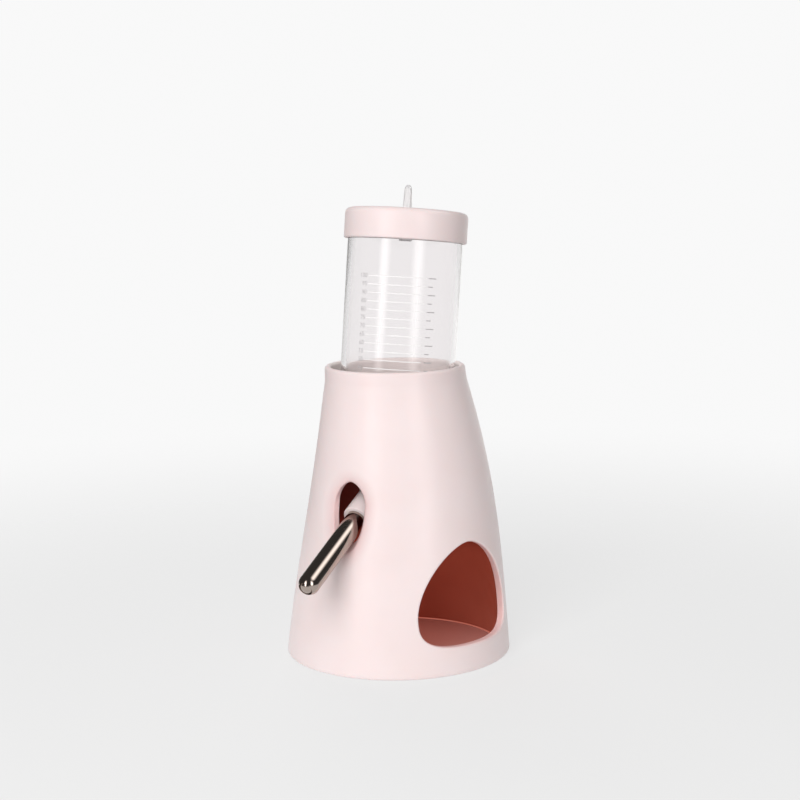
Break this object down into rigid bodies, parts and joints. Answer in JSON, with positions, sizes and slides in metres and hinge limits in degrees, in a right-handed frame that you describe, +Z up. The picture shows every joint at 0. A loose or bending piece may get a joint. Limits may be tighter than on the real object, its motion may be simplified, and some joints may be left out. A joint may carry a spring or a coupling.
{
  "type": "small animal water bottle with hideout stand",
  "caption": "Clear drinking bottle with screw caps and an angled ball-valve spout, leaning in a tapered plastic stand that doubles as a hideout with an egg-shaped doorway.",
  "frame": {"origin": "on the ground under the middle of the whole object's box, about 11 mm from the stand's axis towards the spout", "axes": "+Z up; the spout points to -Y and down; the doorway faces +X, 75 degrees round from the spout"},
  "size_m": [0.0916, 0.114, 0.19],
  "materials": {
    "pink_plastic": "smooth moulded pale pink plastic with a soft gloss",
    "clear_plastic": "clear, polished",
    "silicone": "translucent, satin",
    "polished_steel": "stainless steel polished to a mirror"
  },
  "bodies": {
    "stand": {"stand_shell": "pink_plastic"},
    "bottle": {"bottle_tube": "clear_plastic", "nozzle_cap": "pink_plastic", "nozzle_gasket": "silicone", "spout_tube": "polished_steel", "tube_seal": "silicone", "spring_stop": "polished_steel", "valve_spring": "polished_steel"},
    "cap_gasket": {"top_gasket": "silicone"},
    "cap": {"top_cap": "pink_plastic"},
    "plug": {"fill_plug": "silicone"},
    "ball": {"valve_ball": "polished_steel"}
  },
  "joints": [
    {"name": "bottle_lift", "type": "slide", "parent": "stand", "child": "bottle", "axis": [0.0185, 0.1074, 0.994], "range_m": [0, 0.012]},
    {"name": "cap_rise", "type": "slide", "parent": "bottle", "child": "cap_gasket", "axis": [0.0185, 0.1074, 0.994], "range_m": [0, 0.0046]},
    {"name": "cap_turn", "type": "hinge", "parent": "cap_gasket", "child": "cap", "pos_m": [-0.00052, 0.00861, 0.0742], "axis": [0.0185, 0.1074, 0.994], "range_deg": [0, 540]},
    {"name": "plug_pull", "type": "slide", "parent": "cap", "child": "plug", "axis": [0.0185, 0.1074, 0.994], "range_m": [0, 0.01]},
    {"name": "ball_push", "type": "slide", "parent": "bottle", "child": "ball", "axis": [-0.0155, 0.8831, 0.4689], "range_m": [0, 0.0015], "stiffness_N_per_m": 40, "springref_m": -0.002, "deforming": ["valve_spring"]}
  ],
  "couplings": [
    {"joint": "cap_rise", "follows": "cap_turn", "m_per_rad": 0.00047746}
  ]
}
